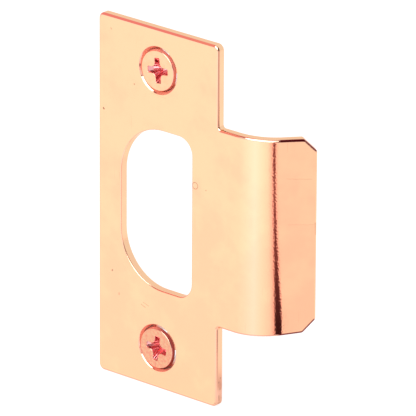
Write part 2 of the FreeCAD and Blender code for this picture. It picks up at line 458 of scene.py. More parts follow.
def outline_shade_lines(drawn, outward):
    """Painted dark line along the outline, painted shade and dark reflection: strong beside the neck
    of the T and around the end of the lip, faint below."""
    along, height = drawn[:, 0], drawn[:, 1]
    beside_neck = (outward[:, 0] > FACING_SIDEWAYS) & (np.abs(along - PLATE_EDGE_X) < neck_reach)
    neck = beside_neck * np.where(height > 0, neck_shade_line_above, neck_shade_line_below)
    below = np.where(outward[:, 1] < -FACING_DOWN, lower_edge_shade_line, 0.0)
    on_lip = np.clip((along - BEND_START - lip_shade_line_start * BEND_LENGTH) / lip_shade_line_fade, 0, 1)
    around_lip = on_lip * np.clip(np.abs(outward[:, 1]) * lip_shade_line_gain, 0, 1)
    return np.maximum(np.maximum(neck, below), around_lip)


def low_wall(drawn, outward):
    """1 at the lower end of the wall on the lip's side, 0 from a little higher up."""
    on_side = (outward[:, 0] > 0.0) & (np.abs(drawn[:, 0] - PLATE_EDGE_X) < low_wall_reach)
    low_down = np.clip((low_wall_start - drawn[:, 1]) / low_wall_fade, 0, 1)
    return on_side * low_down * np.clip(low_wall_gain * outward[:, 0], 0, 1)


def towards(directions, angle):
    """1 around a screw on the side that the angle points to, 0 on the other side."""
    across = np.array((math.cos(angle), math.sin(angle)))
    return np.clip(direction_gain * directions @ across, 0, 1)


def on_roll(out_share, front_share):
    """1 on the rounded front of an edge, 0 on the skin and on the wall."""
    return min(1.0, max(0.0, roll_sharpness * out_share * front_share))


def outline_looks(drawn, outward, out_share, front_share):
    """Painted reflection tint and painted dark line on the plate's outer edge, with no painted gap
    shade.
    """
    below = outward[:, 1] < -TURNED_DOWN
    start = np.where(below, shade_line_start_below, shade_line_start)
    turned = math.acos(max(0.0, front_share))
    line = np.sin((turned - start) * math.pi / (math.pi / 2 - start))
    line = np.clip(np.where(below, shade_line_gain_below, shade_line_gain) * line, 0, 1)
    darkened = low_wall(drawn, outward) * out_share
    tint = on_roll(out_share, front_share) * outline_tints(drawn, outward)
    tint = np.maximum(tint, low_wall_tint * darkened)
    shade_line = np.maximum(line * outline_shade_lines(drawn, outward), low_wall_shade_line * darkened)
    return tint, shade_line, 0.0


def latch_hole_looks(_drawn, _outward, out_share, front_share):
    """Painted reflection tint on the latch hole's edge, with no painted dark line or gap shade."""
    return on_roll(out_share, front_share) * latch_hole_tint, 0.0, 0.0


def countersink_looks(shade):
    """Gives the painted reflection tint, painted dark line and painted gap shade on a countersink
    with that much shade.
    """
    def looks(_drawn, outward, out_share, front_share):
        on_cone = front_share > 0
        away_from_axis = -outward
        matt_gap_shade = min(1.0, max(0.0, cone_gap_shade_gain * (out_share - cone_gap_shade_start))) * on_cone
        matt_gap_shade = matt_gap_shade * (1 - lit_side_less_shade * towards(away_from_axis, bright_direction))
        shaded = countersink_shade_line * shade * out_share * towards(away_from_axis, shade_direction)
        return countersink_tint * out_share * on_cone, shaded, matt_gap_shade
    return looks


def grid_inside(outer, holes, spacing):
    """Places spread over the sheet, closer together on the bend, clear of every edge."""
    columns = np.concatenate((
        np.arange(-PLATE_EDGE_X + spacing, BEND_START, spacing),
        BEND_START + BEND_OUTER_RADIUS * np.arange(0, lip_bend_angle + BEND_STEP / 2, BEND_STEP),
        np.arange(BEND_START + BEND_LENGTH + spacing, LIP_END, spacing)))
    rows = np.arange(-PLATE_TOP_Z + spacing, PLATE_TOP_Z, spacing)
    points = np.stack(np.meshgrid(columns, rows), axis=-1).reshape(-1, 2)
    keep = inside(points, outer)
    for hole in holes:
        keep &= ~inside(points, hole)
    edge_points = np.concatenate((outer, *holes))
    clear = np.array([np.min(np.sum((edge_points - p) ** 2, axis=1)) for p in points])
    return points[keep & (clear > GRID_CLEARANCE ** 2)]


def plate_loops():
    """Each closed edge of the plate: outline, directions, section and looks."""
    straight = math.pi / 2
    loops = [
        (*rounded_outline(plate_outline(), OUTLINE_STEP),
         edge_profile(rolled_edge_radius, straight), outline_looks),
        (*rounded_outline(latch_hole_outline(), OUTLINE_STEP),
         edge_profile(latch_hole_edge_radius, straight), latch_hole_looks),
    ]
    for name, height in screw_heights().items():
        loops.append((*circle_outline(0.0, height, countersink_radius, SCREW_SIDES),
                      edge_profile(countersink_edge_radius, straight - countersink_half_angle),
                      countersink_looks(screw_shades[name])))
    return loops


def plate_edge(skin, places, outward, profile, looks):
    """One closed edge of the plate; gives its rims on the front and on the back."""
    rings = []
    for offset, depth, out_share, front_share in profile:
        drawn = places - outward * offset
        normals = sheet_directions(drawn[:, 0], outward, out_share, front_share)
        tint, shade_line, matt_gap_shade = looks(drawn, outward, out_share, front_share)
        rings.append(skin.add(fold(drawn[:, 0], drawn[:, 1], depth), normals,
                              drawn, depth, tint, 0.0, shade_line, matt_gap_shade))
    skin.join(rings)
    front_rim = (rings[0], places - outward * profile[0][0])
    back_rim = (rings[-1], places - outward * profile[-1][0])
    return front_rim, back_rim


def plate_face(skin, rims, depth, facing):
    """The front or the back of the plate, filled between its rims; facing is 1 or -1."""
    drawn = [flat for _, flat in rims]
    spread = grid_inside(drawn[0], drawn[1:], GRID_STEP)
    across = np.zeros((len(spread), 2))
    numbers = skin.add(fold(spread[:, 0], spread[:, 1], depth),
                       sheet_directions(spread[:, 0], across, 0.0, facing),
                       spread, depth, 0.0)
    loops = []
    first = 0
    for flat in drawn:
        loops.append(np.arange(first, first + len(flat)))
        first += len(flat)
    skin.fill(np.concatenate((*drawn, spread)),
              np.concatenate((*[ring for ring, _ in rims], numbers)),
              loops[0], loops[1:], facing > 0)


def build_plate():
    """The plate with its lip, latch hole and countersinks, as one closed skin."""
    skin = Skin()
    front_rims, back_rims = zip(*[plate_edge(skin, *loop) for loop in plate_loops()])
    plate_face(skin, front_rims, 0.0, 1.0)
    plate_face(skin, back_rims, SHEET, -1.0)
    return skin.make_object("plate", "plate_metal")


# The screws
def point_radius(depth, length):
    """Outside radius of the thread: straight along the shank, then swelling into the point."""
    start = length - point_length
    share = np.clip((depth - start) / point_length, 0, 1)
    straight = shank_radius + (tip_radius - shank_radius) * share
    return straight + 4 * point_bulge * share * (1 - share)


def recess_outline(sizes, turn):
    """The cross of the driver recess, clockwise, with rounded wing ends and core."""
    reach, half = sizes["span"] / 2, sizes["wing"] / 2
    corners = []
    for quarter in range(4):
        angle = turn - quarter * math.pi / 2
        cosine, sine = math.cos(angle), math.sin(angle)
        for x, z, radius in ((reach, half, sizes["end_radius"]),
                             (reach, -half, sizes["end_radius"]),
                             (half, -half, sizes["inner_radius"])):
            corners.append((x * cosine - z * sine, x * sine + z * cosine, radius))
    return rounded_outline(corners, math.inf)


def directions_across(outward, out_share, front_share):
    """Directions round the screw's axis, from shares outward and towards the front."""
    return np.stack((outward[:, 0] * out_share, np.full(len(outward), -front_share),
                     outward[:, 1] * out_share), axis=-1)


class Screw:
    """A flat head screw as one closed skin, in the place of its solid."""

    def __init__(self, name):
        low, high = (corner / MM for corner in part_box(name))
        self.origin = ((low.x + high.x) / 2, low.y, (low.z + high.z) / 2)
        self.length = high.y - low.y
        self.shaded_side = screw_shades[name] * towards(SCREW_CIRCLE, shade_direction)
        self.recess_turn = recess_turns[name]
        self.skin = Skin()

    def ring(self, drawn, depth, normals, tint, deep=0.0, shade_line=0.0, matt_gap_shade=0.0):
        """Points of a drawing across the screw's axis, at a depth from the head's face."""
        x, y, z = self.origin
        depths = np.broadcast_to(depth, len(drawn))
        places = np.stack((drawn[:, 0] + x, depths + y, drawn[:, 1] + z), axis=-1)
        return self.skin.add(places, normals, drawn, depth, tint, deep, shade_line, matt_gap_shade)

    def turned_ring(self, radius, depth, out_share, front_share, tint):
        """A round ring, with painted shade and a half matt finish where it faces the countersink's
        wall.
        """
        normals = directions_across(SCREW_CIRCLE, out_share, front_share)
        beside = max(0.0, out_share - shade_start) / (1 - shade_start)
        matt_gap_shade = beside * (depth < head_rim_depth)
        return self.ring(SCREW_CIRCLE * radius, depth, normals, tint, 0.0,
                         self.shaded_side * beside, matt_gap_shade)

    def head(self):
        """Rounded rim of the face, bevel, side and cone; gives its first and last ring."""
        under = math.pi / 2 + countersink_half_angle
        side_radius = head_rim_radius - head_side_rounding
        side_depth = head_rim_depth - head_side_rounding * math.tan(countersink_half_angle / 2)
        arcs = (
            (head_face_radius, head_rim_rounding, head_rim_rounding, 0.0, head_bevel_turn),
            (head_bevel_radius, head_bevel_depth, head_bevel_rounding, head_bevel_turn,
             head_side_turn),
            (side_radius, side_depth, head_side_rounding, head_side_turn, under),
        )
        rings = []
        for centre_radius, centre_depth, rounding, start, end in arcs:
            for step in range(ROLL_STEPS + 1):
                angle = start + (end - start) * step / ROLL_STEPS
                out_share, front_share = math.sin(angle), math.cos(angle)
                rings.append(self.turned_ring(centre_radius + rounding * out_share,
                                              centre_depth - rounding * front_share,
                                              out_share, front_share, rim_tint * out_share))
        rings.append(self.turned_ring(shank_radius, cone_end_depth, math.sin(under),
                                      math.cos(under), hidden_tint))
        self.skin.join(rings)
        return rings[0], rings[-1]

    def thread(self, cone_end):
        """Rows that follow the helix and are squeezed flat where it starts and ends."""
        turns = math.ceil((self.length - thread_start_depth) / thread_pitch) + 1
        shares = np.array([row + turn for turn in range(turns) for row in THREAD_ROWS])
        crest = np.clip(1 - np.abs((shares % 1) - 0.5) / THREAD_FLANK, 0, 1)
        unset = np.full((SCREW_SIDES, 3), np.nan)
        previous = self.turned_ring(shank_core_radius, thread_start_depth, 1.0, 0.0, hidden_tint)
        self.skin.bridge(cone_end, previous)
        for share, height in zip(shares, crest):
            depth = thread_start_depth + thread_pitch * (share - 1 + SCREW_ANGLES / (2 * np.pi))
            depth = np.clip(depth, thread_start_depth, self.length)
            ramp = np.clip(np.minimum((depth - thread_start_depth) / thread_pitch,
                                      (self.length - depth) / thread_pitch), 0, 1)
            outside = point_radius(depth, self.length)
            core = outside * shank_core_radius / shank_radius
            radius = core + (outside - core) * ramp * height
            row = self.ring(SCREW_CIRCLE * radius[:, None], depth, unset, hidden_tint)
            self.skin.bridge(previous, row)
            previous = row
        self.skin.faces.append(tuple(previous[::-1]))

    def recess(self):
        """Rounded mouth, sloping walls and drilled floor; gives the mouth and its rim."""
        mouth, mouth_out = recess_outline(recess_mouth, self.recess_turn)
        floor, floor_out = recess_outline(recess_floor, self.recess_turn)
        rounding = recess_edge_rounding
        rings = []
        for step in range(RECESS_STEPS + 1):
            angle = math.pi / 2 * step / RECESS_STEPS
            out_share, front_share = math.sin(angle), math.cos(angle)
            rings.append(self.ring(mouth - mouth_out * rounding * (1 - out_share),
                                   rounding * (1 - front_share),
                                   directions_across(mouth_out, out_share, front_share),
                                   0.0, recess_mouth_shade * out_share))
        for share in RECESS_WALL_SHARES:
            drawn = mouth + (floor - mouth) * share
            wall = unit_rows(mouth_out + (floor_out - mouth_out) * share)
            slope = np.sum((floor - mouth) * wall, axis=1) / recess_depth
            normals = unit_rows(np.stack((wall[:, 0], -slope, wall[:, 1]), axis=-1))
            depth = rounding + (recess_depth - rounding) * share
            rings.append(self.ring(drawn, depth, normals, 0.0, 1.0))
        facing = np.tile((0.0, -1.0, 0.0), (len(floor), 1))
        floor_rim = self.ring(floor * recess_floor_inset, recess_depth + recess_floor_rounding,
                              facing, 0.0, 1.0)
        self.skin.join([*rings, floor_rim])
        middle = self.ring(np.zeros((1, 2)), recess_depth + recess_drill_depth, facing[:1],
                           0.0, 1.0)[0]
        for here, after in zip(floor_rim, np.roll(floor_rim, -1)):
            self.skin.faces.append((here, middle, after))
        return mouth, mouth_out, rings[0]

    def face(self, face_rim, mouth, mouth_out, mouth_rim):
        """A narrow border round the recess, then the flat face out to its rim."""
        border_drawn = mouth - mouth_out * (recess_edge_rounding + recess_border)
        border = self.ring(border_drawn, 0.0, np.tile((0.0, -1.0, 0.0), (len(mouth), 1)), 0.0)
        self.skin.bridge(border, mouth_rim)
        flat = np.concatenate((SCREW_CIRCLE * head_face_radius, border_drawn))
        self.skin.fill(flat, np.concatenate((face_rim, border)), np.arange(SCREW_SIDES),
                       [np.arange(SCREW_SIDES, len(flat))], True)


def build_screw(name, piece_name):
    """One screw: head, thread, recess and face, in place of the solid of that name."""
    screw = Screw(name)
    face_rim, cone_end = screw.head()
    screw.thread(cone_end)
    screw.face(face_rim, *screw.recess())
    piece = screw.skin.make_object(piece_name, "screw_metal")
    merge_squeezed_rows(piece.data)
    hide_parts(name)
    return piece


def unit_rows(vectors):
    return vectors / np.linalg.norm(vectors, axis=1)[:, None]


def merge_squeezed_rows(mesh):
    """Joins thread rows that were squeezed together where the thread starts and ends."""
    work = bmesh.new()
    work.from_mesh(mesh)
    bmesh.ops.remove_doubles(work, verts=work.verts, dist=MERGE_DISTANCE * MM)
    work.to_mesh(mesh)
    work.free()


# Camera, from the photograph's viewing angle
camera_azimuth = math.radians(40.576)
camera_elevation = math.radians(21.139)
camera_roll = math.radians(-0.322)
camera_distance = 1238.44
camera_aim = Vector((6.842, 4.471, 0.438))
camera_lens = 590.58


def set_camera():
    side = Vector((math.cos(camera_azimuth), math.sin(camera_azimuth), 0))
    toward = Vector((math.sin(camera_azimuth) * math.cos(camera_elevation),
                     -math.cos(camera_azimuth) * math.cos(camera_elevation),
                     math.sin(camera_elevation)))
    up = toward.cross(side)
    cosine, sine = math.cos(camera_roll), math.sin(camera_roll)
    right = side * cosine - up * sine
    top = side * sine + up * cosine
    place = Matrix((right, top, toward)).transposed().to_4x4()
    place.translation = (camera_aim + toward * camera_distance) * MM
    camera = bpy.data.objects.new("camera", bpy.data.cameras.new("camera"))
    camera.data.lens = camera_lens
    camera.data.sensor_width = 36
    camera.data.clip_start = 0.01
    camera.matrix_world = place
    bpy.context.scene.collection.objects.link(camera)
    bpy.context.scene.camera = camera


# Studio floor: how far it lies under the plate; its half size is in metres
floor_drop = 0.05
floor_half_size = 3.0
floor_glow = 0.86
floor_grey = (0.27, 0.27, 0.27, 1.0)
studio_white = (1.0, 1.0, 1.0, 1.0)
black = (0.0, 0.0, 0.0, 1.0)

# Places of the mix node's two colours among its inputs, and of its colour among its outputs
MIX_FIRST = 6
MIX_SECOND = 7
MIX_RESULT = 2


def new_material(name):
    material = bpy.data.materials.new(name)
    material.use_nodes = True
    material.node_tree.nodes.clear()
    return material, material.node_tree


def link(tree, source, target):
    tree.links.new(source, target)


def give(tree, socket, value):
    """Sets an input, or links it where the value is another node's output."""
    if isinstance(value, bpy.types.NodeSocket):
        link(tree, value, socket)
    else:
        socket.default_value = value


def add_node(tree, kind, **values):
    """A node with inputs given by name."""
    node = tree.nodes.new(kind)
    for key, value in values.items():
        give(tree, node.inputs[key.replace("_", " ")], value)
    return node


def math_node(tree, operation, first, second=0.0, clamp=False, third=0.0):
    node = tree.nodes.new("ShaderNodeMath")
    node.operation = operation
    node.use_clamp = clamp
    for socket, value in zip(node.inputs, (first, second, third)):
        give(tree, socket, value)
    return node.outputs[0]


def scaled(tree, value, gain, start):
    """The start plus the gain times the value."""
    return math_node(tree, "MULTIPLY_ADD", value, gain, third=start)


def vector_node(tree, operation, first, second=None, result="Vector"):
    node = tree.nodes.new("ShaderNodeVectorMath")
    node.operation = operation
    give(tree, node.inputs[0], first)
    if second is not None:
        give(tree, node.inputs[1], second)
    return node.outputs[result]


def smooth_step(tree, value, low, high):
    """0 below the low limit, 1 above the high one, with a soft change between them."""
    node = add_node(tree, "ShaderNodeMapRange", Value=value, From_Min=low, From_Max=high)
    node.interpolation_type = "SMOOTHSTEP"
    return node.outputs["Result"]


def band(tree, value, low, high, low_softness, high_softness):
    """1 between the low and the high limit, with soft changes around them."""
    above = smooth_step(tree, value, math_node(tree, "SUBTRACT", low, low_softness),
                        math_node(tree, "ADD", low, low_softness))
    beyond = smooth_step(tree, value, math_node(tree, "SUBTRACT", high, high_softness),
                         math_node(tree, "ADD", high, high_softness))
    return math_node(tree, "MULTIPLY", above, math_node(tree, "SUBTRACT", 1.0, beyond))


def mix_colours(tree, factor, first, second):
    node = tree.nodes.new("ShaderNodeMix")
    node.data_type = "RGBA"
    give(tree, node.inputs["Factor"], factor)
    give(tree, node.inputs[MIX_FIRST], first)
    give(tree, node.inputs[MIX_SECOND], second)
    return node.outputs[MIX_RESULT]


def colour_ramp(tree, value, stops):
    """A ramp from (place, colour) stops."""
    ramp = add_node(tree, "ShaderNodeValToRGB", Fac=value)
    while len(ramp.color_ramp.elements) < len(stops):
        ramp.color_ramp.elements.new(0.5)
    for element, (place, colour) in zip(ramp.color_ramp.elements, stops):
        element.position = place
        element.color = colour
    return ramp.outputs["Color"]


def finish_material(tree, kind, shader):
    """Links a shader to the surface of a material's or a world's output."""
    output = tree.nodes.new(kind)
    link(tree, shader.outputs[0], output.inputs["Surface"])


def seen_directly(tree):
    """1 for rays that show the background itself: to the camera, in metal or through glass."""
    path = tree.nodes.new("ShaderNodeLightPath").outputs
    seen = math_node(tree, "ADD", path["Is Camera Ray"], path["Is Glossy Ray"])
    return math_node(tree, "ADD", seen, path["Is Transmission Ray"], clamp=True)


# Painted reflection of studio surroundings, which the floor shows only to glossy rays, by direction
# around the bend of the lip: degrees from straight in front towards the lip's side, and brightness
floor_levels = (
    (-180, (0.98, 0.98, 0.98, 1.0)),
    (-24, (0.98, 0.98, 0.98, 1.0)),
    (-8, (1.08, 1.08, 1.12, 1.0)),
    (11, (1.18, 1.20, 1.36, 1.0)),
    (28, (1.04, 1.04, 1.04, 1.0)),
    (41, (0.92, 0.83, 0.84, 1.0)),
    (60, (0.84, 0.72, 0.73, 1.0)),
    (95, (0.84, 0.74, 0.75, 1.0)),
    (120, (0.98, 0.92, 0.94, 1.0)),
    (180, (0.98, 0.92, 0.94, 1.0)),
)

# A painted reflection of a dark card beside the lip, drawn on the floor for glossy rays only. Its
# sides lie at these degrees at its far end, and spread towards its near end. The two ends are
# distances from the bend's axis
card_near = 54.0
card_far = 144.0
card_left = 46.4
card_left_spread = 5.6
card_left_softness = 2.6
card_right = 51.3
card_right_spread = 15.9
card_right_curve = 1.9
card_right_limit = 65.6
card_far_softness = 2.1
card_near_softness = 1.1
card_far_colour = (0.28, 0.07, 0.085, 1.0)
card_near_colour = (0.055, 0.015, 0.020, 1.0)
card_shade_curve = 2.0
card_clearance_start = 24.0
card_clearance_end = 30.0

# The painted red fringe round the painted card, in the same degrees
fringe_left_reach = 3.5
fringe_left_width = 8.0
fringe_right_reach = 2.0
fringe_right_limit = 66.2
fringe_far_width = 8.0
fringe_near_width = 1.6
fringe_colour = (1.0, 0.24, 0.30, 1.0)


def around_bend(tree):
    """Degrees round the bend's axis from straight in front, and the distance from it."""
    position = tree.nodes.new("ShaderNodeNewGeometry").outputs["Position"]
    in_millimetres = vector_node(tree, "MULTIPLY", position, (1 / MM, 1 / MM, 1 / MM))
    offset = vector_node(tree, "SUBTRACT", in_millimetres, (BEND_START, lip_bend_inner_radius, 0.0))
    split = add_node(tree, "ShaderNodeSeparateXYZ", Vector=offset)
    x, y = split.outputs["X"], split.outputs["Y"]
    front = math_node(tree, "MULTIPLY", y, -1.0)
    degrees = math_node(tree, "DEGREES", math_node(tree, "ARCTAN2", x, front))
    squares = math_node(tree, "ADD", math_node(tree, "MULTIPLY", x, x),
                        math_node(tree, "MULTIPLY", y, y))
    return degrees, math_node(tree, "POWER", squares, 0.5)


def mirrored_floor(tree):
    """The floor in reflections: its colour with a painted bright band and a painted dark brown card,
    and how much of the card there is."""
    degrees, distance = around_bend(tree)
    place = math_node(tree, "DIVIDE", math_node(tree, "ADD", degrees, 180.0), 360.0)
    plain = colour_ramp(tree, place, [((d + 180) / 360, level) for d, level in floor_levels])
    nearness = math_node(tree, "DIVIDE", math_node(tree, "SUBTRACT", card_far, distance),
                         card_far - card_near, clamp=True)
    spread = math_node(tree, "POWER", nearness, card_right_curve)
    left = scaled(tree, nearness, card_left_spread, card_left)
    right = math_node(tree, "MINIMUM", scaled(tree, spread, card_right_spread, card_right),
                      card_right_limit)
    softness = scaled(tree, nearness, card_near_softness - card_far_softness, card_far_softness)
    away = smooth_step(tree, distance, card_clearance_start, card_clearance_end)
    card = band(tree, degrees, left, right, card_left_softness, softness)
    card = math_node(tree, "MULTIPLY", card, away)
    fringe_left = math_node(tree, "SUBTRACT", left, fringe_left_reach)
    fringe_right = math_node(tree, "MINIMUM", math_node(tree, "ADD", right, fringe_right_reach),
                             fringe_right_limit)
    fringe_width = scaled(tree, nearness, fringe_near_width - fringe_far_width, fringe_far_width)
    fringe = band(tree, degrees, fringe_left, fringe_right, fringe_left_width, fringe_width)
    fringe = math_node(tree, "MULTIPLY", fringe, away)
    darkness = math_node(tree, "POWER", nearness, card_shade_curve)
    card_colour = mix_colours(tree, darkness, card_far_colour, card_near_colour)
    fringed = mix_colours(tree, fringe, plain, fringe_colour)
    return mix_colours(tree, card, fringed, card_colour), card


def build_floor():
    """A plain white floor that catches a shadow, with a painted reflection pattern that only the
    metal sees.
    """
    material, tree = new_material("studio_floor")
    glossy = tree.nodes.new("ShaderNodeLightPath").outputs["Is Glossy Ray"]
    mirrored, card = mirrored_floor(tree)
    colour = mix_colours(tree, glossy, studio_white, mirrored)
    mirrored_card = math_node(tree, "MULTIPLY", glossy, card)
    matt_colour = mix_colours(tree, mirrored_card, floor_grey, black)
    matt = add_node(tree, "ShaderNodeBsdfDiffuse", Color=matt_colour)
    strength = math_node(tree, "MULTIPLY", seen_directly(tree), floor_glow)
    glow = add_node(tree, "ShaderNodeEmission", Color=colour, Strength=strength)
    both = tree.nodes.new("ShaderNodeAddShader")
    link(tree, matt.outputs[0], both.inputs[0])
    link(tree, glow.outputs[0], both.inputs[1])
    finish_material(tree, "ShaderNodeOutputMaterial", both)
    mesh = bpy.data.meshes.new("floor")
    half = floor_half_size
    height = (plate_low.z - floor_drop) * MM
    mesh.from_pydata([(-half, -half, height), (half, -half, height),
                      (half, half, height), (-half, half, height)], [], [(0, 1, 2, 3)])
    mesh.materials.append(material)
    floor = bpy.data.objects.new("floor", mesh)
    bpy.context.scene.collection.objects.link(floor)


# Studio above the floor: patches of another brightness on an even pale surround, given by
# azimuth (0 in front, 90 on the lip's side), elevation, half width, softness and colour
sky_colour = (0.95, 0.95, 0.95, 1.0)
sky_patches = (
    (-48.0, 20.0, 20.0, 10.0, (0.95, 0.44, 0.40, 1.0)),
    (-80.0, 42.0, 35.0, 10.0, (0.95, 0.44, 0.40, 1.0)),
    (-48.0, 62.0, 9.0, 10.0, (0.25, 0.04, 0.05, 1.0)),
    (88.0, 44.0, 40.0, 6.0, (0.12, 0.02, 0.025, 1.0)),
)


def direction_of(azimuth, elevation):
    a, e = math.radians(azimuth), math.radians(elevation)
    return Vector((math.sin(a) * math.cos(e), -math.cos(a) * math.cos(e), math.sin(e)))


def build_world():
    """Pale all round, with reddish patches on the plain side and a dark one by the lip."""
    world = bpy.data.worlds.new("studio")
    bpy.context.scene.world = world
    world.use_nodes = True
    tree = world.node_tree
    tree.nodes.clear()
    direction = tree.nodes.new("ShaderNodeTexCoord").outputs["Generated"]
    colour = sky_colour
    for azimuth, elevation, half_size, softness, patch_colour in sky_patches:
        nearness = vector_node(tree, "DOT_PRODUCT", direction, direction_of(azimuth, elevation),
                               "Value")
        outside = math.cos(math.radians(half_size + softness / 2))
        within = math.cos(math.radians(half_size - softness / 2))
        colour = mix_colours(tree, smooth_step(tree, nearness, outside, within), colour,
                             patch_colour)
    back = add_node(tree, "ShaderNodeBackground", Color=colour, Strength=1.0)
    finish_material(tree, "ShaderNodeOutputWorld", back)


def add_softbox(name, azimuth, elevation, distance, width, height, radiance):
    """A soft lamp aimed at the object, its distance and sizes in metres; azimuth 0 is in
    front, and 90 is on the lip's side."""
    toward = direction_of(azimuth, elevation)
    lamp = bpy.data.lights.new(name, "AREA")
    lamp.shape = "RECTANGLE"
    lamp.size = width
    lamp.size_y = height
    lamp.energy = math.pi * radiance * width * height
    box = bpy.data.objects.new(name, lamp)
    box.location = camera_aim * MM + toward * distance
    box.rotation_euler = toward.to_track_quat("Z", "Y").to_euler()
    bpy.context.scene.collection.objects.link(box)


# Finishes
plate_colour = (0.97, 0.635, 0.382, 1.0)
plate_pink = (0.97, 0.585, 0.36, 1.0)
upper_screw_colour = (0.965, 0.61, 0.375, 1.0)
upper_screw_pink = (0.955, 0.56, 0.33, 1.0)
# The lower screw is the same copper painted darker and redder: painted shade standing in for its
# tilted head
lower_screw_colour = (0.78, 0.46, 0.28, 1.0)
lower_screw_pink = (0.78, 0.33, 0.22, 1.0)
# Colour of the painted redder reflection on edges
edge_reflection_colour = (0.93, 0.48, 0.39, 1.0)
# Colour of the painted dark lines: painted shade and dark reflections along edges and round the
# screw heads
shade_line_colour = (0.19, 0.013, 0.019, 1.0)
# Colour of the painted shade inside the screws' driver recesses
recess_shade_colour = (0.81, 0.42, 0.43, 1.0)
speck_colour = (0.30, 0.10, 0.06, 1.0)

# Clouds of two copper colours, pinker lower down by this much a millimetre; the pinker lower part is
# painted shade from the floor mirrored near the plate
pinker_below = 0.0045
cloud_low = 0.35
cloud_high = 0.65

# How rough the clean plating is, how much its clouds and its worn places add, how dark specks
# and hairlines are, and how deep worn places lie in thousandths of a millimetre
clean_roughness = 0.04
cloud_roughness = 0.04
worn_roughness = 0.3
speck_darkness = 0.6
hairline_darkness = 0.12
worn_depth = 3.0
hairline_directions = ((0.12, 3.4), (1.35, 2.6))

# Copper colour at glancing angles, and the painted shade in the gaps round the screw heads, salmon
# red and half matt
glancing_tint = (1.0, 0.80, 0.72, 1.0)
gap_matt_share = 0.5
gap_shade_colour = (0.85, 0.22, 0.17, 1.0)
gap_shade_colour_share = 0.35

# Marks that handling has left on the plate: start and end on its flat drawing with the depth
# from the door side, width and darkness
plate_marks = (
    ((-11.3, 32.4, 0.0), (-11.2, 32.3, 0.0), 0.2, 0.35),
    ((-13.1, 16.6, 0.0), (-13.0, 16.5, 0.0), 0.24, 0.8),
    ((-5.7, 23.0, 0.0), (-5.6, 23.0, 0.0), 0.18, 0.5),
    ((-9.3, -18.9, 0.0), (-9.3, -18.6, 0.0), 0.16, 0.4),
    ((-11.0, -14.6, 0.0), (-10.9, -14.5, 0.0), 0.2, 0.6),
    ((-3.9, -19.4, 0.0), (-2.9, -19.8, 0.0), 0.1, 0.4),
    ((-3.4, -18.9, 0.0), (-2.1, -19.3, 0.0), 0.1, 0.35),
    ((-1.6, 22.3, 0.0), (1.9, 22.0, 0.0), 0.12, 0.1),
    ((28.2, 11.45, 0.0), (32.8, 11.0, 0.0), 0.12, 0.14),
    ((28.5, 2.6, 0.0), (33.3, 2.2, 0.0), 0.12, 0.09),
    ((8.25, 5.9, 0.0), (8.3, 7.1, 0.0), 0.1, 0.3),
    ((33.6, 2.5, 0.0), (33.7, 0.3, 0.0), 0.2, 0.3),
    ((14.29, -30.8, 1.1), (14.29, -34.2, 1.1), 0.8, 0.15),
    ((14.29, -30.1, 0.7), (14.29, -30.2, 0.7), 0.24, 0.45),
    ((14.29, -29.3, 1.1), (14.29, -29.4, 1.1), 0.2, 0.4),
    ((14.29, -31.3, 1.0), (14.29, -31.5, 1.0), 0.28, 0.4),
    ((14.29, -32.8, 0.7), (14.29, -33.6, 0.8), 0.3, 0.4),
    ((14.29, -33.2, 1.3), (14.29, -33.4, 1.4), 0.2, 0.35),
    ((13.8, -34.7, 0.6), (14.2, -34.2, 0.9), 0.35, 0.4),
)
ring_mark = ((8.95, 7.05, 0.0), (8.96, 7.05, 0.0), 0.12, 0.5)
ring_mark_radius = 0.62
mark_waver = 0.25
mark_waver_scale = 1.1
MICRON = 1e-6


def new_group(name, inputs, outputs):
    """A shader node group; inputs are (name, kind, value), and outputs (name, kind)."""
    group = bpy.data.node_groups.new(name, "ShaderNodeTree")
    for label, kind, value in inputs:
        socket = group.interface.new_socket(label, in_out="INPUT", socket_type=kind)
        if value is not None:
            socket.default_value = value
    for label, kind in outputs:
        group.interface.new_socket(label, in_out="OUTPUT", socket_type=kind)
    given = group.nodes.new("NodeGroupInput").outputs
    made = group.nodes.new("NodeGroupOutput").inputs
    return group, given, made


def place_group(tree, group, **values):
    node = tree.nodes.new("ShaderNodeGroup")
    node.node_tree = group
    for key, value in values.items():
        give(tree, node.inputs[key], value)
    return node.outputs


def noise(tree, place, scale, detail, roughness=0.5):
    node = add_node(tree, "ShaderNodeTexNoise", Vector=place, Scale=scale, Detail=detail,
                    Roughness=roughness)
    return node.outputs["Fac"]


def stretched(tree, place, turn, scale):
    """The same place, turned about the sheet and stretched to draw long thin marks."""
    node = add_node(tree, "ShaderNodeMapping", Vector=place, Rotation=(0.0, 0.0, turn), Scale=scale)
    return node.outputs["Vector"]


def make_polish():
    """Polished plating: a little orange peel, fine grain and cloudy gloss."""
    group, given, made = new_group(
        "polish",
        (("Place", "NodeSocketVector", None), ("Wave", "NodeSocketFloat", 2.0),
         ("Grain", "NodeSocketFloat", 0.5), ("Cloud_Scale", "NodeSocketFloat", 0.12)),
        (("Height", "NodeSocketFloat"), ("Cloud", "NodeSocketFloat")))
    wave = noise(group, given["Place"], scale=0.30, detail=1.0)
    grain = noise(group, given["Place"], scale=3.0, detail=0.5)
    height = math_node(group, "ADD", math_node(group, "MULTIPLY", wave, given["Wave"]),
                       math_node(group, "MULTIPLY", grain, given["Grain"]))
    cloud = noise(group, given["Place"], scale=given["Cloud_Scale"], detail=3.0, roughness=0.6)
    link(group, height, made["Height"])
    link(group, cloud, made["Cloud"])
    return group


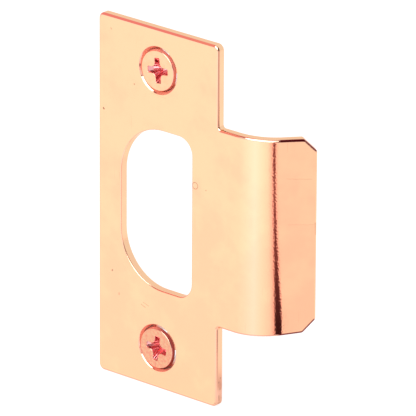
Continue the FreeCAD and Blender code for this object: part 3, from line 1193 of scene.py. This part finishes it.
def make_hairlines():
    """Fine handling scratches in two directions, broken up into short lengths."""
    group, given, made = new_group(
        "hairlines",
        (("Place", "NodeSocketVector", None), ("Fewness", "NodeSocketFloat", 0.72)),
        (("Mask", "NodeSocketFloat"),))
    breaks = noise(group, given["Place"], scale=0.16, detail=2.0)
    lengths = smooth_step(group, breaks, 0.50, 0.62)
    sure = math_node(group, "ADD", given["Fewness"], 0.03)
    masks = []
    for turn, fineness in hairline_directions:
        long_way = stretched(group, given["Place"], turn, (fineness, 0.05, 0.3))
        lines = noise(group, long_way, scale=1.0, detail=2.0)
        sharp = smooth_step(group, lines, given["Fewness"], sure)
        masks.append(math_node(group, "MULTIPLY", sharp, lengths))
    link(group, math_node(group, "MAXIMUM", *masks), made["Mask"])
    return group


def make_specks():
    """Small dark pits left in the plating, far apart."""
    group, given, made = new_group(
        "specks",
        (("Place", "NodeSocketVector", None), ("Spacing", "NodeSocketFloat", 6.0),
         ("Radius", "NodeSocketFloat", 0.12)),
        (("Mask", "NodeSocketFloat"),))
    scale = math_node(group, "DIVIDE", 1.0, given["Spacing"])
    cells = add_node(group, "ShaderNodeTexVoronoi", Vector=given["Place"], Scale=scale).outputs
    chance = add_node(group, "ShaderNodeSeparateXYZ", Vector=cells["Color"]).outputs["X"]
    kept = smooth_step(group, chance, 0.55, 0.60)
    size = math_node(group, "MULTIPLY", given["Radius"], scale)
    away = smooth_step(group, cells["Distance"], size, math_node(group, "MULTIPLY", size, 1.6))
    near = math_node(group, "SUBTRACT", 1.0, away)
    link(group, math_node(group, "MULTIPLY", near, kept), made["Mask"])
    return group


def make_mark():
    """One short scratch or dent, drawn along a line, or at the distance Ring from it."""
    group, given, made = new_group(
        "mark",
        (("Place", "NodeSocketVector", None), ("Start", "NodeSocketVector", None),
         ("End", "NodeSocketVector", None), ("Width", "NodeSocketFloat", 0.1),
         ("Ring", "NodeSocketFloat", 0.0)),
        (("Mask", "NodeSocketFloat"),))
    offset = vector_node(group, "SUBTRACT", given["Place"], given["Start"])
    line = vector_node(group, "SUBTRACT", given["End"], given["Start"])
    share = math_node(group, "DIVIDE", vector_node(group, "DOT_PRODUCT", offset, line, "Value"),
                      vector_node(group, "DOT_PRODUCT", line, line, "Value"), True)
    along = add_node(group, "ShaderNodeCombineXYZ", X=share, Y=share, Z=share).outputs[0]
    nearest = vector_node(group, "MULTIPLY", line, along)
    away = vector_node(group, "DISTANCE", offset, nearest, "Value")
    away = math_node(group, "ABSOLUTE", math_node(group, "SUBTRACT", away, given["Ring"]))
    far = smooth_step(group, away, math_node(group, "MULTIPLY", given["Width"], 0.4), given["Width"])
    link(group, math_node(group, "SUBTRACT", 1.0, far), made["Mask"])
    return group


def make_turning():
    """Fine rings left by the lathe around a screw's axis."""
    group, given, made = new_group(
        "turning",
        (("Place", "NodeSocketVector", None), ("Strength", "NodeSocketFloat", 1.0)),
        (("Height", "NodeSocketFloat"),))
    split = add_node(group, "ShaderNodeSeparateXYZ", Vector=given["Place"])
    flat = add_node(group, "ShaderNodeCombineXYZ", X=split.outputs["X"], Y=split.outputs["Y"])
    radius = vector_node(group, "LENGTH", flat.outputs[0], result="Value")
    along_radius = add_node(group, "ShaderNodeCombineXYZ", X=radius).outputs[0]
    rings = noise(group, along_radius, scale=4.0, detail=2.0)
    link(group, math_node(group, "MULTIPLY", rings, given["Strength"]), made["Height"])
    return group


polish_group = make_polish()
hairlines_group = make_hairlines()
specks_group = make_specks()
mark_group = make_mark()
turning_group = make_turning()


def attribute(tree, name, output):
    node = tree.nodes.new("ShaderNodeAttribute")
    node.attribute_name = name
    return node.outputs[output]


def wavering(tree, place):
    """The same place, shifted a little, so that marks aren't quite straight."""
    waver = noise(tree, place, scale=mark_waver_scale, detail=2.0)
    waver = math_node(tree, "MULTIPLY", math_node(tree, "SUBTRACT", waver, 0.5), mark_waver)
    shift = add_node(tree, "ShaderNodeCombineXYZ", Y=waver).outputs[0]
    return vector_node(tree, "ADD", place, shift)


def plating_colour(tree, cloud, colour, cloud_colour):
    """Clouded copper with painted light: a redder painted reflection on edges, painted dark lines,
    and painted shade in the gaps and in a recess.
    """
    shown = mix_colours(tree, cloud, colour, cloud_colour)
    shown = mix_colours(tree, attribute(tree, "reflection_tint", "Fac"), shown, edge_reflection_colour)
    shown = mix_colours(tree, attribute(tree, "shade_line", "Fac"), shown, shade_line_colour)
    matt_gap_shade = math_node(tree, "MULTIPLY", attribute(tree, "matt_gap_shade", "Fac"), gap_shade_colour_share)
    shown = mix_colours(tree, matt_gap_shade, shown, gap_shade_colour)
    return mix_colours(tree, attribute(tree, "deep", "Fac"), shown, recess_shade_colour)


def plated_metal(name, colour, cloud_colour, cloud_scale, grain, fewness, turning=0.0, marks=()):
    """Polished copper plating with fine grain, lathe rings, hairlines, specks and marks."""
    material, tree = new_material(name)
    place = attribute(tree, "drawn", "Vector")
    polish = place_group(tree, polish_group, Place=place, Wave=2.0, Grain=grain,
                         Cloud_Scale=cloud_scale)
    hairlines = place_group(tree, hairlines_group, Place=place, Fewness=fewness)
    specks = place_group(tree, specks_group, Place=place)
    rings = place_group(tree, turning_group, Place=place, Strength=turning)

    darkened = math_node(tree, "MULTIPLY", specks["Mask"], speck_darkness)
    mark_place = wavering(tree, place) if marks else place
    for (start, end, width, darkness), ring in marks:
        mark = place_group(tree, mark_group, Place=mark_place, Start=start, End=end,
                           Width=width, Ring=ring)
        dark = math_node(tree, "MULTIPLY", mark["Mask"], darkness)
        darkened = math_node(tree, "MAXIMUM", darkened, dark)
    lines = math_node(tree, "MULTIPLY", hairlines["Mask"], hairline_darkness)
    darkened = math_node(tree, "MAXIMUM", darkened, lines)

    drawn_height = add_node(tree, "ShaderNodeSeparateXYZ", Vector=place).outputs["Y"]
    cloud = scaled(tree, drawn_height, -pinker_below, polish["Cloud"])
    cloud = smooth_step(tree, cloud, cloud_low, cloud_high)
    shown = plating_colour(tree, cloud, colour, cloud_colour)
    shown = mix_colours(tree, darkened, shown, speck_colour)

    roughness = math_node(tree, "ADD",
                          math_node(tree, "MULTIPLY", polish["Cloud"], cloud_roughness),
                          math_node(tree, "MULTIPLY", darkened, worn_roughness))
    roughness = math_node(tree, "ADD", roughness, clean_roughness)
    relief = math_node(tree, "ADD", polish["Height"], rings["Height"])
    relief = math_node(tree, "SUBTRACT", relief, math_node(tree, "MULTIPLY", darkened, worn_depth))
    bump = add_node(tree, "ShaderNodeBump", Strength=1.0, Distance=MICRON, Height=relief)
    metallic = scaled(tree, attribute(tree, "matt_gap_shade", "Fac"), -gap_matt_share, 1.0)
    metal = add_node(tree, "ShaderNodeBsdfPrincipled", Base_Color=shown, Metallic=metallic,
                     Roughness=roughness, Normal=bump.outputs["Normal"],
                     Specular_Tint=glancing_tint)
    finish_material(tree, "ShaderNodeOutputMaterial", metal)
    return material


bpy.context.scene.view_settings.view_transform = "Standard"
set_camera()
build_floor()
build_world()
add_softbox("key_softbox", azimuth=22.0, elevation=47.0, distance=0.8, width=0.80,
            height=0.82, radiance=3.6)
plate = build_plate()
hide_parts("strike_plate")
all_marks = [(mark, 0.0) for mark in plate_marks] + [(ring_mark, ring_mark_radius)]
plate.data.materials.append(
    plated_metal("copper_plate", plate_colour, plate_pink, cloud_scale=0.12, grain=8.5,
                 fewness=0.70, marks=all_marks))
upper_screw = build_screw("screw_upper", "upper_screw")
upper_screw.data.materials.append(
    plated_metal("copper_upper_screw", upper_screw_colour, upper_screw_pink, cloud_scale=0.7,
                 grain=3.0, fewness=0.66, turning=5.0))
lower_screw = build_screw("screw_lower", "lower_screw")
lower_screw.data.materials.append(
    plated_metal("copper_lower_screw", lower_screw_colour, lower_screw_pink, cloud_scale=1.8,
                 grain=6.0, fewness=0.62, turning=10.0))
